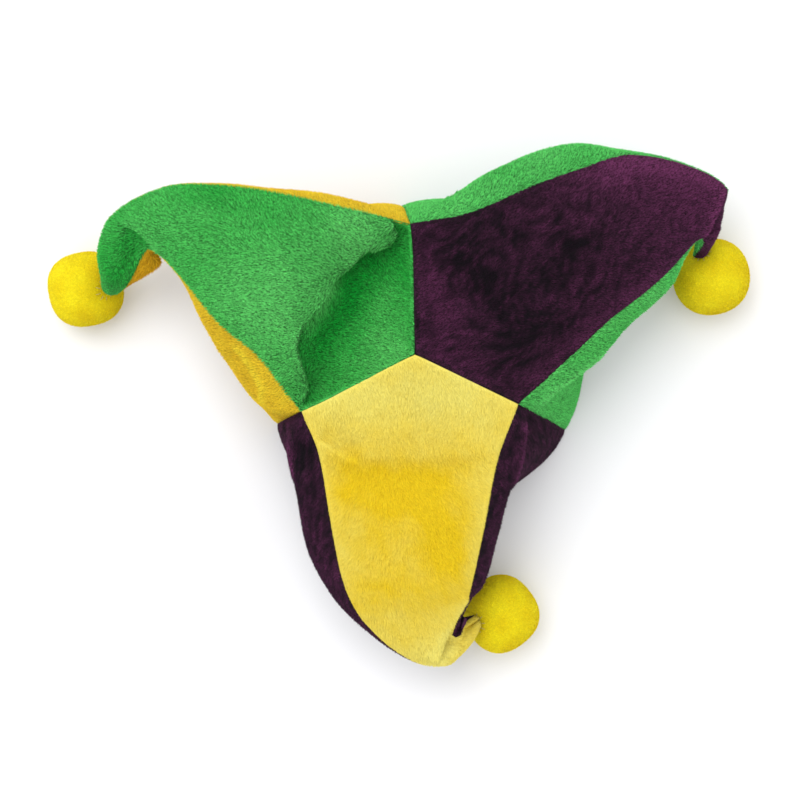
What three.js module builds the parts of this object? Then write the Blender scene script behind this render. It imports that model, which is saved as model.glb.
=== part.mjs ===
// A plush jester hat that stands on its rim: six sewn panels make a crown with three hollow drooping
// horns, and each horn's tip is sewn to a stuffed ball. Millimetres, +Z up; the front horn points along -Y.
import * as THREE from "three";

// Crown
const CROWN_TOP = 103; // height of the middle, where the three top panels meet
const CORNER_HEIGHT = 92; // height of the corners between two horns
const CORNER_RADIUS = 66; // mean distance of the corners from the middle, in plan
const RIM_RADIUS = 94; // mean radius of the rim
const THROAT_HEIGHT = 34; // height where the wall turns out into a horn's underside
const THROAT_RADIUS = 90; // distance of that turn from the middle
const WALL_BULGE = 4; // how far the upright seams bow outwards

// Cloth
const WALL = 2.6; // backing and pile together
const SEAM_GAP = 0.5; // between two panels along a seam
const UPRIGHT_REACH = 45; // around the middle, where the seams' walls stand upright
const HEM_HEIGHT = 16; // the rim is turned in this far
const HEM_WALL = 4.2; // two layers

// Horns
const HORN_REACH = 170; // unit of the sections' plan position
const HORN_HALF_WIDTH = 48; // half the width of a horn's top panel beside the crown
const THINNING = 0.155; // a wall is at most this share of its section's height
const DENT_FADE = 0.15; // share of a panel's width over which its dents fade out at a seam
const CORNER_EASE = 0.3; // share of a panel's width over which a corner's crease fades out

// Balls
const BALL_RADIUS = 21.5;
const BALL_CLEARANCE = 0.5; // between a tip and its ball
const SEAT_DEPTH = 4.6; // how far the stitches draw the ball in
const SEAT_RADIUS = 6.2; // of the drawn-in flat that a tip is sewn to

// Mesh fineness
const TOP_COLUMNS = 12;
const UNDER_COLUMNS = 18;
const CROWN_ROWS = 5;
const SECTION_ROWS = 3; // between two sections of a horn's body
const TIP_ROWS = 2; // between two sections of its tip
const BODY_SECTIONS = 4;
const BALL_SIDES = 16;
const BALL_RINGS = 9;

const GREEN = 0x2f9e3d;
const PURPLE = 0x35142f;
const YELLOW = 0xe6cc2c;
const GOLD = 0xd9ac1e;
const LEMON = 0xf0d91c;

// The corners between two horns, counter-clockwise: radius in CORNER_RADIUS, rim in RIM_RADIUS
const CORNERS = [
  { azimuth: -25.7, radius: 0.924, rimAzimuth: -25.2, rim: 1.015 }, // front and right
  { azimuth: 92.1, radius: 1.05, rimAzimuth: 95.2, rim: 0.905 }, // right and left
  { azimuth: 206.6, radius: 1.018, rimAzimuth: 205.9, rim: 0.92 }, // left and front
];

function table(columns, rows) {
  return rows.map((row) => Object.fromEntries(columns.map((column, i) => [column, row[i]])));
}

// Sections across a horn, from the crown to its tip:
// along and aside (to the left, looking outwards) place its middle, as shares of HORN_REACH,
// height is a share of the way from the tip's height to the corners',
// turn to the left, lean of the top back to the crown and twist to the right are in degrees,
// half width, rise of the top and drop of the underside are shares of HORN_HALF_WIDTH,
// and the cheeks say how full the underside is beyond its two seams.
const SECTION_COLUMNS = [
  "along", "aside", "height", "turn", "lean", "twist", "half", "rise", "drop", "rightCheek", "leftCheek",
];

// Hollows in a top panel: share is across it from the right, station counts sections outwards
// from its base (0), long is across it, wide is along it in stations, and depth is in HORN_HALF_WIDTH
const DENT_COLUMNS = ["share", "station", "long", "wide", "depth"];

// Each horn has the corner of its own number on its right and the next one on its left. Its ball hangs
// from the last section, turned and dipped in degrees; lap is how far the tip lies over the ball's seat.
const HORNS = [
  {
    name: "right",
    top: PURPLE,
    under: GREEN,
    crest: 0.06,
    rimFront: 1.07,
    baseCheeks: [0.5, 0.35],
    ball: { turn: -93, dip: 40, lap: 0.5 },
    sections: table(SECTION_COLUMNS, [
      [0.38, 0, 0.88, -1, 38, 0, 0.99, 0.2, 0.98, 0.75, 0.95],
      [0.58, 0, 0.8, -3, 28, 0, 0.87, 0.26, 0.86, 0.7, 1.15],
      [0.73, -0.015, 0.74, -8, 16, 0, 0.79, 0.27, 0.7, 0.7, 1.1],
      [0.865, -0.03, 0.66, -14, 6, 0, 0.69, 0.2, 0.5, 0.7, 0.35],
      [0.975, -0.093, 0.56, -38, -5, 0, 0.49, 0.12, 0.32, 0.5, 0.1],
      [1.036, -0.146, 0.46, -63, -30, 0, 0.33, 0.09, 0.2, 0.2, 0.1],
      [1.01, -0.178, 0.3, -64, -60, 0, 0.23, 0.12, 0.15, 0.2, 0.2],
      [0.953, -0.23, 0, -101, -40, 0, 0.1, 0.08, 0.08, 0.2, 0.2],
    ]),
    dents: table(DENT_COLUMNS, [
      [0.3, 1.2, 0.16, 0.8, 0.05],
      [0.62, 0.1, 0.2, 0.5, 0.05],
    ]),
  },
  {
    name: "left",
    top: GREEN,
    under: GOLD,
    crest: -0.12,
    rimFront: 1.12,
    baseCheeks: [0.2, 0.6],
    ball: { turn: 24, dip: 46, lap: 4.5 },
    sections: table(SECTION_COLUMNS, [
      [0.42, -0.01, 0.98, 4, 36, 0, 0.94, 0.25, 0.98, 0.4, 0.9],
      [0.595, 0.005, 0.9, 6, 26, 0, 0.79, 0.3, 0.84, 0.25, 0.55],
      [0.765, 0.01, 0.77, 9, 14, 0, 0.57, 0.26, 0.62, 0.2, 0.1],
      [0.895, 0.045, 0.61, 29, 0, 0, 0.39, 0.2, 0.42, 0.1, 0.1],
      [0.971, 0.129, 0.46, 80, -20, 5, 0.29, 0.12, 0.3, 0.1, 0.5],
      [0.967, 0.215, 0.28, 112, -30, 20, 0.27, 0.2, 0.3, 0.1, 1.9],
      [0.945, 0.285, 0.17, 108, -40, 8, 0.17, 0.1, 0.08, 0.2, 0.7],
      [0.947, 0.318, 0, 100, -40, 0, 0.11, 0.08, 0.08, 0.2, 0.2],
    ]),
    dents: table(DENT_COLUMNS, [
      [0.1, 0.02, 0.12, 0.3, 0.16],
      [0.9, 0.02, 0.12, 0.3, 0.16],
      [0.5, 0.25, 0.4, 0.45, 0.06],
    ]),
  },
  {
    name: "front",
    top: YELLOW,
    under: PURPLE,
    crest: 0.05,
    rimFront: 0.9,
    baseCheeks: [0.6, 0.45],
    ball: { turn: 106, dip: 40, lap: 0.5 },
    sections: table(SECTION_COLUMNS, [
      [0.31, -0.024, 0.92, -3, 40, 0, 1.0, 0.14, 1.0, 0.9, 0.7],
      [0.545, -0.025, 0.8, 0, 30, 0, 0.85, 0.26, 0.88, 1.05, 0.65],
      [0.72, -0.023, 0.68, 3, 16, 0, 0.72, 0.26, 0.68, 0.8, 0.6],
      [0.815, 0, 0.52, 12, 0, 0, 0.59, 0.2, 0.46, 0.5, 0.3],
      [0.93, 0.05, 0.37, 32, -15, 0, 0.28, 0.12, 0.26, 0.1, 0.8],
      [0.937, 0.12, 0.28, 72, -20, 15, 0.2, 0.16, 0.26, 0.1, 2.1],
      [0.895, 0.16, 0.16, 110, -30, 15, 0.15, 0.12, 0.14, 0.2, 1.2],
      [0.859, 0.195, 0, 106, -40, 0, 0.1, 0.08, 0.08, 0.2, 0.2],
    ]),
    dents: table(DENT_COLUMNS, [
      [0.45, 0.5, 0.4, 0.5, 0.09],
      [0.1, 0.6, 0.12, 0.3, 0.08],
      [0.7, 2.4, 0.2, 0.5, 0.05],
    ]),
  },
];

const UP = new THREE.Vector3(0, 0, 1);
const { degToRad, lerp, smoothstep } = THREE.MathUtils;

function polar(azimuth, radius, height) {
  const angle = degToRad(azimuth);
  return new THREE.Vector3(radius * Math.cos(angle), radius * Math.sin(angle), height);
}

// The direction that points along an azimuth and dips below the horizon, both in degrees
function direction(azimuth, dip) {
  return polar(azimuth, Math.cos(degToRad(dip)), -Math.sin(degToRad(dip)));
}

const MIDDLE = new THREE.Vector3(0, 0, CROWN_TOP);

// From the last section of a tip to its ball's middle
function ballOffset(horn, azimuth) {
  const reach = BALL_RADIUS - SEAT_DEPTH + BALL_CLEARANCE + horn.ball.lap;
  return direction(azimuth + horn.ball.turn, horn.ball.dip).multiplyScalar(reach);
}

function corner(index) {
  const turns = Math.floor(index / CORNERS.length);
  const row = CORNERS[index % CORNERS.length];
  return {
    azimuth: row.azimuth + 360 * turns,
    rimAzimuth: row.rimAzimuth + 360 * turns,
    rimRadius: row.rim * RIM_RADIUS,
    top: polar(row.azimuth, row.radius * CORNER_RADIUS, CORNER_HEIGHT),
    foot: polar(row.rimAzimuth, row.rim * RIM_RADIUS, 0),
  };
}

// The upright seam below a corner, from the rim (0) to the corner (1)
function uprightSeam(at, share) {
  const bulge = at.foot.clone().setLength(WALL_BULGE * Math.sin(Math.PI * share));
  return at.foot.clone().lerp(at.top, share).add(bulge);
}

// The rim below a horn, from its right corner (0) to its left one (1)
function rimPoint(horn, right, left, share) {
  const azimuth = lerp(right.rimAzimuth, left.rimAzimuth, share);
  const plain = lerp(right.rimRadius, left.rimRadius, share);
  const swell = horn.rimFront * RIM_RADIUS - (right.rimRadius + left.rimRadius) / 2;
  return polar(azimuth, plain + swell * Math.sin(Math.PI * share) ** 2, 0);
}

// The top half of a section from the right seam (0) to the left seam (1): a shallow arch
function archPoint(share, middle, toLeft, toCrest) {
  const sideways = 2 * share - 1;
  return middle.clone().addScaledVector(toLeft, sideways).addScaledVector(toCrest, 1 - sideways ** 2);
}

// The lower half: a deep sling that swells by cheeks beyond both seams
function slingPoint(share, middle, toLeft, toBottom, cheeks) {
  const angle = Math.PI * share;
  const fullness = cheeks[share < 0.5 ? 0 : 1];
  const sideways = -Math.cos(angle) * (1 + fullness * Math.sin(angle));
  return middle.clone().addScaledVector(toLeft, sideways).addScaledVector(toBottom, Math.sin(angle));
}

// Where the crown turns into a horn: both half sections start at the horn's two corners
function baseSection(horn, azimuth, right, left) {
  const middle = right.top.clone().lerp(left.top, 0.5);
  const toLeft = left.top.clone().sub(middle);
  const toCrest = UP.clone().multiplyScalar(horn.crest * HORN_HALF_WIDTH);
  const toThroat = polar(azimuth, THROAT_RADIUS, THROAT_HEIGHT).sub(middle);
  return {
    top: (share) => archPoint(share, middle, toLeft, toCrest),
    under: (share) => slingPoint(share, middle, toLeft, toThroat, horn.baseCheeks),
    wall: WALL,
  };
}

// The sections of a horn beyond its base. A ball stands on the floor, so the tip's height follows from it.
function hornSections(horn, azimuth) {
  const tipHeight = BALL_RADIUS - ballOffset(horn, azimuth).z;
  return horn.sections.map((row) => {
    const middle = direction(azimuth, 0)
      .multiplyScalar(row.along * HORN_REACH)
      .add(direction(azimuth + 90, 0).multiplyScalar(row.aside * HORN_REACH))
      .setZ(lerp(tipHeight, CORNER_HEIGHT, row.height));
    const left = direction(azimuth + row.turn + 90, 0);
    const top = UP.clone().applyAxisAngle(left, degToRad(-row.lean));
    const along = left.clone().cross(top);
    for (const way of [left, top]) way.applyAxisAngle(along, degToRad(row.twist));
    const toLeft = left.multiplyScalar(row.half * HORN_HALF_WIDTH);
    const toCrest = top.clone().multiplyScalar(row.rise * HORN_HALF_WIDTH);
    const toBottom = top.clone().multiplyScalar(-row.drop * HORN_HALF_WIDTH);
    return {
      top: (share) => archPoint(share, middle, toLeft, toCrest),
      under: (share) => slingPoint(share, middle, toLeft, toBottom, [row.rightCheek, row.leftCheek]),
      wall: Math.min(WALL, (row.rise + row.drop) * HORN_HALF_WIDTH * THINNING),
      middle,
    };
  });
}

// The rows of a column's share of the way through the sections: whole numbers are sections, 0 is the base
function rowStations(sectionCount) {
  const stations = [];
  for (let row = 0; row < CROWN_ROWS; row++) stations.push(row / CROWN_ROWS - 1);
  for (let i = 0; i < sectionCount; i++) {
    const rows = i < BODY_SECTIONS ? SECTION_ROWS : TIP_ROWS;
    for (let row = 0; row < rows; row++) stations.push(i + row / rows);
  }
  stations.push(sectionCount);
  return stations;
}

// How deep a panel's dents are at a place; they fade out towards its seams
function dentDepth(dents, share, station) {
  const depths = dents.map((dent) => {
    const [across, along] = [(share - dent.share) / dent.long, (station - dent.station) / dent.wide];
    return dent.depth * HORN_HALF_WIDTH * Math.exp(-(across ** 2) - along ** 2);
  });
  const fading = smoothstep(Math.min(share, 1 - share), 0, DENT_FADE);
  return fading * depths.reduce((sum, depth) => sum + depth, 0);
}

function curvePoint(points, at) {
  return new THREE.CatmullRomCurve3(points).getPoint(at / (points.length - 1));
}

// A panel's outer face as rows of points, creased at its corners and smooth through the base between them
function panelGrid({ columns, stations, crown, halves, dents }) {
  const shares = Array.from({ length: columns + 1 }, (_, i) => i / columns);
  return stations.map((station) =>
    shares.map((share) => {
      const through = halves.map((half) => half(share));
      const smooth = curvePoint([crown(share, 0), ...through], station + 1);
      const creased = station < 0 ? crown(share, station + 1) : curvePoint(through, station);
      const point = creased.lerp(smooth, smoothstep(Math.min(share, 1 - share), 0, CORNER_EASE));
      return point.addScaledVector(UP, -dentDepth(dents, share, station));
    }),
  );
}

// The part of an under panel on the crown's wall, from the rim (0) to the base section (1)
function wallPoint(horn, base, right, left, share, rise) {
  const point = rimPoint(horn, right, left, share).lerp(base.under(share), rise);
  // Both sides bow as their upright seams do
  for (const [at, nearness] of [[right, 1 - share], [left, share]]) {
    const straight = at.foot.clone().lerp(at.top, rise);
    point.addScaledVector(uprightSeam(at, rise).sub(straight), nearness);
  }
  return point;
}

function faceNormal(a, b, c) {
  return b.clone().sub(a).cross(c.clone().sub(a));
}

// The faces of a grid as triples of [row, column], wound so that a top panel faces up
function gridFaces(grid, flip) {
  const faces = [];
  for (let row = 0; row + 1 < grid.length; row++) {
    for (let column = 0; column + 1 < grid[0].length; column++) {
      const [a, b] = [[row, column], [row, column + 1]];
      const [c, d] = [[row + 1, column + 1], [row + 1, column]];
      faces.push(flip ? [a, c, b] : [a, b, c], flip ? [a, d, c] : [a, c, d]);
    }
  }
  return faces;
}

const keyOf = (point) => point.toArray().map((value) => Math.round(value * 100)).join();

// The mean outward normal at each point of all the panels together, so that walls meet square at their seams
function sharedNormals(panels) {
  const places = new Map();
  for (const panel of panels) {
    for (const face of gridFaces(panel.grid, panel.flip)) {
      const corners = face.map(([row, column]) => panel.grid[row][column]);
      const normal = faceNormal(...corners);
      for (const point of corners) {
        const key = keyOf(point);
        if (!places.has(key)) places.set(key, { point, normal: new THREE.Vector3() });
        places.get(key).normal.add(normal);
      }
    }
  }
  // Around the middle the panels are narrower than their walls are thick, so there the walls stand upright
  const normals = new Map();
  for (const [key, { point, normal }] of places) {
    const upright = 1 - smoothstep(MIDDLE.distanceTo(point), 0, UPRIGHT_REACH);
    normals.set(key, normal.normalize().lerp(UP, upright).normalize());
  }
  return normals;
}

// How a panel's edge steps back from its seam, towards the panel's own middle
function seamStep({ grid, isUnder }, row, column, size) {
  const last = grid[0].length - 1;
  const onSeam = column === 0 || column === last || (row === 0 && !isUnder);
  if (!onSeam) return new THREE.Vector3();
  const step = grid[Math.max(row, 1)][last / 2].clone().sub(grid[row][column]).setLength(size);
  return isUnder && row === 0 ? step.setZ(0) : step;
}

// A closed wall between a panel's outer face and its inner one
function panelGeometry(panel, normals) {
  const { grid, flip, walls, isUnder } = panel;
  const inner = grid.map((points, row) =>
    points.map((point) => {
      const hem = isUnder ? 1 - smoothstep(point.z, HEM_HEIGHT * 0.8, HEM_HEIGHT) : 0;
      const depth = lerp(walls[row], HEM_WALL, hem);
      const moved = point.clone().addScaledVector(normals.get(keyOf(point)), -depth);
      return isUnder && row === 0 ? moved.setZ(0) : moved;
    }),
  );
  const [rows, columns] = [grid.length, grid[0].length];
  const position = [];
  for (const [sheet, size] of [[grid, SEAM_GAP / 2], [inner, SEAM_GAP]]) {
    sheet.forEach((points, row) =>
      points.forEach((point, column) => {
        position.push(...point.clone().add(seamStep(panel, row, column, size)));
      }),
    );
  }
  // A top panel's first row is a single point
  const own = (row, column) => (isUnder || row > 0 ? column : 0);
  const index = (sheet, row, column) => (sheet * rows + row) * columns + own(row, column);
  const triangles = [];
  const add = (a, b, c) => {
    if (a !== b && b !== c && c !== a) triangles.push(a, b, c);
  };
  for (const face of gridFaces(grid, flip)) {
    const [a, b, c] = face.map(([row, column]) => index(0, row, column));
    const [d, e, f] = face.map(([row, column]) => index(1, row, column));
    add(a, b, c);
    add(f, e, d);
  }
  // Along the two seams both panels split their side walls the same way, so that the gap stays even
  const side = (from, to, turned) => {
    const [a, b] = [index(0, ...from), index(0, ...to)];
    const [c, d] = [index(1, ...from), index(1, ...to)];
    if (turned) {
      add(a, d, b);
      add(a, c, d);
    } else {
      add(a, b, d);
      add(a, d, c);
    }
  };
  for (let row = 0; row + 1 < rows; row++) {
    side([row, 0], [row + 1, 0], flip);
    side([row, columns - 1], [row + 1, columns - 1], !flip);
  }
  for (let column = 0; column + 1 < columns; column++) {
    side([0, column], [0, column + 1], !flip);
    side([rows - 1, column], [rows - 1, column + 1], flip);
  }
  const geometry = new THREE.BufferGeometry();
  geometry.setAttribute("position", new THREE.Float32BufferAttribute(position, 3));
  geometry.setIndex(triangles);
  geometry.computeVertexNormals();
  return geometry;
}

// Both panels of one horn, as outer faces
function hornPanels(horn, number) {
  const [right, left] = [corner(number), corner(number + 1)];
  const azimuth = (right.azimuth + left.azimuth) / 2;
  const base = baseSection(horn, azimuth, right, left);
  const sections = hornSections(horn, azimuth);
  const all = [base, ...sections];
  const stations = rowStations(sections.length);
  const walls = stations.map((station) => {
    const before = Math.max(0, Math.floor(station));
    const after = Math.min(before + 1, all.length - 1);
    return lerp(all[before].wall, all[after].wall, Math.max(0, station - before));
  });
  const top = panelGrid({
    columns: TOP_COLUMNS,
    stations,
    crown: (share, out) => MIDDLE.clone().lerp(base.top(share), out),
    halves: all.map((section) => section.top),
    dents: horn.dents,
  });
  const under = panelGrid({
    columns: UNDER_COLUMNS,
    stations,
    crown: (share, rise) => wallPoint(horn, base, right, left, share, rise),
    halves: all.map((section) => section.under),
    dents: [],
  });
  const offset = ballOffset(horn, azimuth);
  const [topName, underName] = [`top_panel_${horn.name}`, `under_panel_${horn.name}`];
  return {
    panels: [
      { name: topName, colour: horn.top, grid: top, walls, flip: true, isUnder: false },
      { name: underName, colour: horn.under, grid: under, walls, flip: false, isUnder: true },
    ],
    ballMiddle: sections.at(-1).middle.clone().add(offset),
    seatFacing: offset.clone().negate().normalize(),
  };
}

// A stuffed ball, drawn in at its seat, which faces up the lathe's axis
function ballGeometry() {
  const seat = BALL_RADIUS - SEAT_DEPTH;
  const lip = SEAT_RADIUS * 1.9;
  const first = Math.asin(lip / BALL_RADIUS);
  const profile = [new THREE.Vector2(0, seat), new THREE.Vector2(SEAT_RADIUS, seat)];
  profile.push(new THREE.Vector2(SEAT_RADIUS * 1.35, seat + SEAT_DEPTH * 0.36));
  for (let i = 0; i < BALL_RINGS; i++) {
    const angle = lerp(first, Math.PI, i / BALL_RINGS);
    profile.push(new THREE.Vector2(BALL_RADIUS * Math.sin(angle), BALL_RADIUS * Math.cos(angle)));
  }
  profile.push(new THREE.Vector2(0, -BALL_RADIUS));
  return new THREE.LatheGeometry(profile.reverse(), BALL_SIDES);
}

function plush(colour, name) {
  return new THREE.MeshStandardMaterial({ color: colour, roughness: 0.95, metalness: 0, name });
}

function named(name, geometry, colour) {
  const mesh = new THREE.Mesh(geometry, plush(colour, `${name}_plush`));
  mesh.name = name;
  return mesh;
}

function ball(name, middle, seatFacing) {
  const mesh = named(`ball_${name}`, ballGeometry(), LEMON);
  mesh.position.copy(middle);
  mesh.quaternion.setFromUnitVectors(new THREE.Vector3(0, 1, 0), seatFacing);
  return mesh;
}

function jesterHat() {
  const hat = new THREE.Group();
  const horns = HORNS.map(hornPanels);
  const panels = horns.flatMap((horn) => horn.panels);
  const normals = sharedNormals(panels);
  for (const panel of panels) hat.add(named(panel.name, panelGeometry(panel, normals), panel.colour));
  horns.forEach((horn, i) => hat.add(ball(HORNS[i].name, horn.ballMiddle, horn.seatFacing)));
  return hat;
}

// The origin is under the middle of the hat's box, on the surface that it stands on
function centred(hat) {
  const box = new THREE.Box3().setFromObject(hat, true);
  const middle = box.getCenter(new THREE.Vector3());
  hat.position.set(-middle.x, -middle.y, -box.min.z);
  return hat;
}

export default centred(jesterHat());
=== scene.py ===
"""The looks of a plush jester hat that stands on its rim: six sewn plush panels and three stuffed balls."""

import math

import bmesh
import bpy
import numpy as np
from bpy.props import FloatProperty, FloatVectorProperty, IntProperty, PointerProperty
from mathutils import Matrix, Vector, noise


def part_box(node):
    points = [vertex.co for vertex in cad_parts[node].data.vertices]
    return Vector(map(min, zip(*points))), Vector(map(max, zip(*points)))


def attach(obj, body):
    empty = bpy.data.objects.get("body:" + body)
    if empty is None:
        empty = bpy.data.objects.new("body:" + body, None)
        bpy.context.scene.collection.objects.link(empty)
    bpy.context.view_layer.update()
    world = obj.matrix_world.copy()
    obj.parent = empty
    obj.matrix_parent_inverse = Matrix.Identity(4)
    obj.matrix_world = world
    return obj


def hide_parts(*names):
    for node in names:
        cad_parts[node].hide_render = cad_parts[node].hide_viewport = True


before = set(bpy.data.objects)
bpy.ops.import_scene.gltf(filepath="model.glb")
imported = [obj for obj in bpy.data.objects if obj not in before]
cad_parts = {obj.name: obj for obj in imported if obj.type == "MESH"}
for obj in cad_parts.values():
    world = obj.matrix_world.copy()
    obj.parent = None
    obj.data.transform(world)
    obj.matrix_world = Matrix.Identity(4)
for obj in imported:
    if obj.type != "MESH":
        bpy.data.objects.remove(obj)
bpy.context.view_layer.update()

bl_info = {
    "name": "Plush Jester Hat",
    "version": (1, 0, 0),
    "blender": (4, 5, 0),
    "location": "3D View > Sidebar > Hat",
    "description": "Dresses a jester hat in plush pile, stuffs its balls and lights it",
    "category": "Object",
}

BODY = "root"
MM = 0.001
HORNS = ("right", "left", "front")
PANELS = [f"{side}_panel_{horn}" for horn in HORNS for side in ("top", "under")]
BALLS = [f"ball_{horn}" for horn in HORNS]

# How a panel's mesh is read
MERGE = 0.001 * MM  # corners this near are one
END_TURN = math.radians(60)  # the surface turns by more than this all along the cloth's cut end
SEAM_CORNER = math.radians(30)  # a seam that turns by more than this at a point has a corner there
RIM_HEIGHT = 0.1 * MM  # corners lower than this are on the rim
HEM_HEIGHT = 16 * MM  # the cloth is turned in up to here
FULL_WALL = 2.6 * MM  # the wall at which the pile has its full length
SHORTEST_PILE = 0.35  # as a share of that length

# What the thread does to a panel's edge
SEAM_PULL = 0.3 * MM  # how far it draws the cloth's outer face to the seam
LINING_PULL = 0.55 * MM  # and the inner face
SEAM_PULL_WIDTH = 1.5 * MM  # how quickly that fades out away from the seam
SEAM_FRINGE = 2 * MM  # the same for pile that leans out over a seam or back from it
SEAM_SHORTENING = 0.6  # share of its length that pile loses at a seam that it leans back from
RIPPLE_CLEAR = 12 * MM  # the cloth's ripple has its full height this far from a seam
FOLD_CLEAR = 4 * MM  # and so has a fold

# Steps of a sheet of cloth between two rows and two columns of its mesh, and where rows need more of them
ROW_STEPS = 4
COLUMN_STEPS = 5
DENSE_ROWS = {
    "top_panel_left": ((3, 9, 11), (16, 20, 7)),
    "top_panel_right": ((19, 23, 7),),
    "top_panel_front": ((7, 10, 7), (16, 20, 7)),
}
LINE_STEPS = 10  # of a fold's line between two of its places

# Attributes of the meshes
PILE = "pile"  # how long the pile is at a point, from 0 to 1
NAP = "nap"  # the way that it is brushed
TONE = "tone"  # how light the pile looks, from 0 to 1: its brushing and random patches, with painted highlight and painted shade
SHADE = "shade"  # one random number for each tuft
TIP = "tip"  # how far up its tuft a point is, from 0 to 1


def table(columns, *rows):
    """Rows of values by the names of their columns."""
    return [dict(zip(columns, row)) for row in rows]


# Folds in the cloth. Each runs through places given as shares across its panel, from the right seam, and
# along it, from the crown or rim. The valley is on the left of that way, and the crest leans over it.
# Rise, drop and lean are in millimetres, and so are the widths of the crest's two sides and of the valley.
# Tone is a painted highlight that lightens the pile along the crest.
FOLDS = table(
    ("panel", "rise", "drop", "lean", "before", "behind", "valley", "tone", "line"),
    ("top_panel_left", 1.6, 4.0, 1.4, 13.0, 9.0, 14.0, 0.1,
     ((0.0, 0.241), (0.1, 0.243), (0.19, 0.268), (0.33, 0.286), (0.51, 0.288), (0.7, 0.301), (0.81, 0.293),
      (0.86, 0.268), (0.9, 0.241), (0.93, 0.218), (1.0, 0.213))),
    ("top_panel_left", 2.4, 2.6, 3.4, 6.0, 1.6, 5.0, 0.3,
     ((-0.04, 0.236), (0.0, 0.236), (0.025, 0.231), (0.063, 0.228), (0.088, 0.223), (0.113, 0.221),
      (0.132, 0.228), (0.145, 0.241), (0.157, 0.253), (0.189, 0.263), (0.252, 0.271), (0.327, 0.281),
      (0.447, 0.291))),
    ("top_panel_left", 1.4, 1.8, 2.4, 6.0, 2.0, 5.0, 0.2,
     ((0.66, 0.301), (0.81, 0.293), (0.86, 0.268), (0.9, 0.241), (0.93, 0.221), (0.98, 0.213), (1.04, 0.2))),
    ("top_panel_left", 1.6, 3.0, 2.5, 8.0, 2.0, 7.0, 0.2,
     ((1.0, 0.66), (0.83, 0.7), (0.49, 0.725), (0.2, 0.75))),
    ("top_panel_right", 1.8, 2.0, 1.4, 4.0, 1.4, 4.0, 0.9,
     ((0.95, 0.8), (0.84, 0.82), (0.46, 0.82), (0.09, 0.83), (0.0, 0.86))),
    ("top_panel_front", 0.5, 1.6, 0.0, 9.0, 8.0, 10.0, 0.0,
     ((1.0, 0.3), (0.67, 0.33), (0.4, 0.335), (0.16, 0.33), (0.0, 0.29))),
    ("top_panel_front", 1.0, 1.6, 0.8, 5.0, 2.0, 4.0, 0.0,
     ((0.0, 0.3), (0.05, 0.315), (0.1, 0.33), (0.16, 0.345), (0.24, 0.35))),
    ("top_panel_front", 1.8, 2.4, 2.0, 6.0, 2.0, 5.0, 0.4,
     ((1.0, 0.62), (0.92, 0.68), (0.78, 0.73), (0.5, 0.765), (0.3, 0.78))),
    ("under_panel_right", 1.6, 1.5, 1.0, 4.0, 3.0, 6.0, 0.5,
     ((0.12, 0.38), (0.09, 0.33), (0.07, 0.24), (0.02, 0.17))),
    ("under_panel_front", 1.8, 2.4, 1.6, 4.0, 2.0, 5.0, 0.45,
     ((0.975, 0.205), (0.945, 0.225), (0.905, 0.265), (0.878, 0.297), (0.855, 0.345))),
    ("under_panel_front", 1.6, 2.0, 1.0, 4.0, 3.0, 6.0, 0.4,
     ((0.04, 0.19), (0.11, 0.21), (0.13, 0.28), (0.12, 0.34))),
    ("under_panel_left", 0.7, 0.8, 0.4, 5.0, 3.0, 6.0, 0.4,
     ((0.88, 0.2), (0.93, 0.26), (0.96, 0.33), (0.97, 0.4))),
)
FOLD_ENDS = 0.15  # share of its line over which a fold rises, and over which it dies out
FOLD_REACH = 4  # how far beyond its ends it fades, in millimetres
VALLEY_SHADE = 0.15  # how much darker the pile looks at the bottom of a valley

# Where the pile looks lighter or darker: partly its brushing, partly painted shade in valleys and behind
# folds and painted highlight along crests and edges. A patch's middle and half sizes are shares across and
# along
PATCHES = table(
    ("panel", "across", "along", "wide", "long", "tone"),
    ("top_panel_left", 0.7, 0.36, 0.4, 0.1, 0.35),
    ("top_panel_left", 0.5, 0.47, 0.35, 0.12, 0.15),
    ("top_panel_left", 0.42, 0.225, 0.42, 0.045, -0.42),
    ("top_panel_left", 0.12, 0.52, 0.25, 0.12, -0.28),
    ("top_panel_left", 0.72, 0.05, 0.4, 0.06, 0.3),
    ("top_panel_left", 0.15, 0.12, 0.15, 0.08, -0.15),
    ("top_panel_left", 0.12, 0.27, 0.16, 0.05, 0.65),
    ("top_panel_left", 0.6, 0.86, 0.7, 0.12, -0.35),
    ("top_panel_right", 0.5, 0.35, 1.0, 0.25, -0.14),
    ("top_panel_right", 0.8, 0.15, 0.25, 0.07, 0.28),
    ("top_panel_right", 0.68, 0.28, 0.25, 0.06, -0.18),
    ("top_panel_right", 0.22, 0.29, 0.14, 0.06, -0.2),
    ("top_panel_right", 0.62, 0.78, 0.5, 0.14, 0.3),
    ("top_panel_right", 1.0, 0.72, 0.2, 0.2, 0.8),
    ("top_panel_right", 0.5, 0.94, 2.0, 0.06, 0.35),
    ("top_panel_right", 0.03, 0.5, 0.07, 0.3, 0.3),
    ("top_panel_right", 0.35, 0.1, 0.2, 0.06, 0.1),
    ("under_panel_left", 0.5, 0.88, 2.0, 0.16, -0.5),
    ("under_panel_right", 0.5, 0.5, 2.0, 2.0, 0.2),
    ("under_panel_front", 0.5, 0.5, 2.0, 2.0, -0.08),
    ("under_panel_front", 0.97, 0.12, 0.06, 0.08, -0.12),
    ("top_panel_front", 0.5, 0.13, 0.9, 0.13, 0.5),
    ("top_panel_front", 0.22, 0.38, 0.35, 0.05, -0.4),
    ("top_panel_front", 0.62, 0.4, 0.3, 0.06, -0.3),
    ("top_panel_front", 0.5, 0.57, 0.6, 0.13, -0.35),
    ("top_panel_front", 0.75, 0.47, 0.16, 0.07, -0.35),
    ("top_panel_front", 0.98, 0.46, 0.1, 0.12, 0.4),
    ("top_panel_front", 0.02, 0.42, 0.08, 0.1, 0.3),
    ("top_panel_front", 0.5, 0.78, 0.6, 0.07, 0.6),
)
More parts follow.
